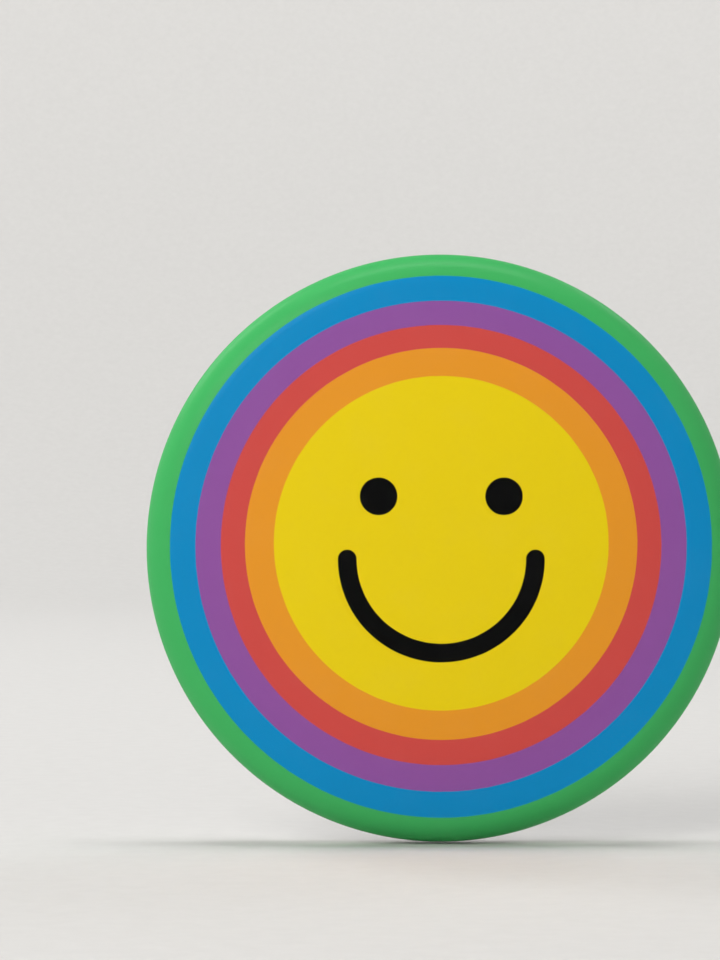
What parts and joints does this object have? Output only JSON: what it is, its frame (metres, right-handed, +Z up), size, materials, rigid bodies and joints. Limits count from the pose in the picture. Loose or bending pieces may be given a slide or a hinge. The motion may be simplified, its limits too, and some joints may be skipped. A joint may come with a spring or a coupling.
{
  "type": "button badge",
  "caption": "Round pressed button badge with a domed face under clear film, a tinplate back and a spring wire pin with a U catch.",
  "frame": {"origin": "centre of the badge, halfway through its thickness", "axes": "upright as worn: +X to the right of the face, +Z up the face, +Y out of the back towards the wearer"},
  "size_m": [0.0572, 0.0072, 0.0572],
  "materials": {
    "film": "clear gloss film",
    "print": "printed coated paper",
    "tinplate": "rolled tinplate",
    "wire": "drawn spring wire"
  },
  "bodies": {
    "root": {"clear_film": "film", "printed_paper": "print", "front_shell": "tinplate", "back_plate": "tinplate", "catch_wire": "wire"},
    "arm": {"pin_arm": "wire"}
  },
  "joints": [
    {"name": "pin_open", "type": "hinge", "parent": "root", "child": "arm", "pos_m": [-0.014, 0.0019, 0.0092], "axis": [0.8613, 0.4991, -0.0955], "range_deg": [0, 110]}
  ]
}
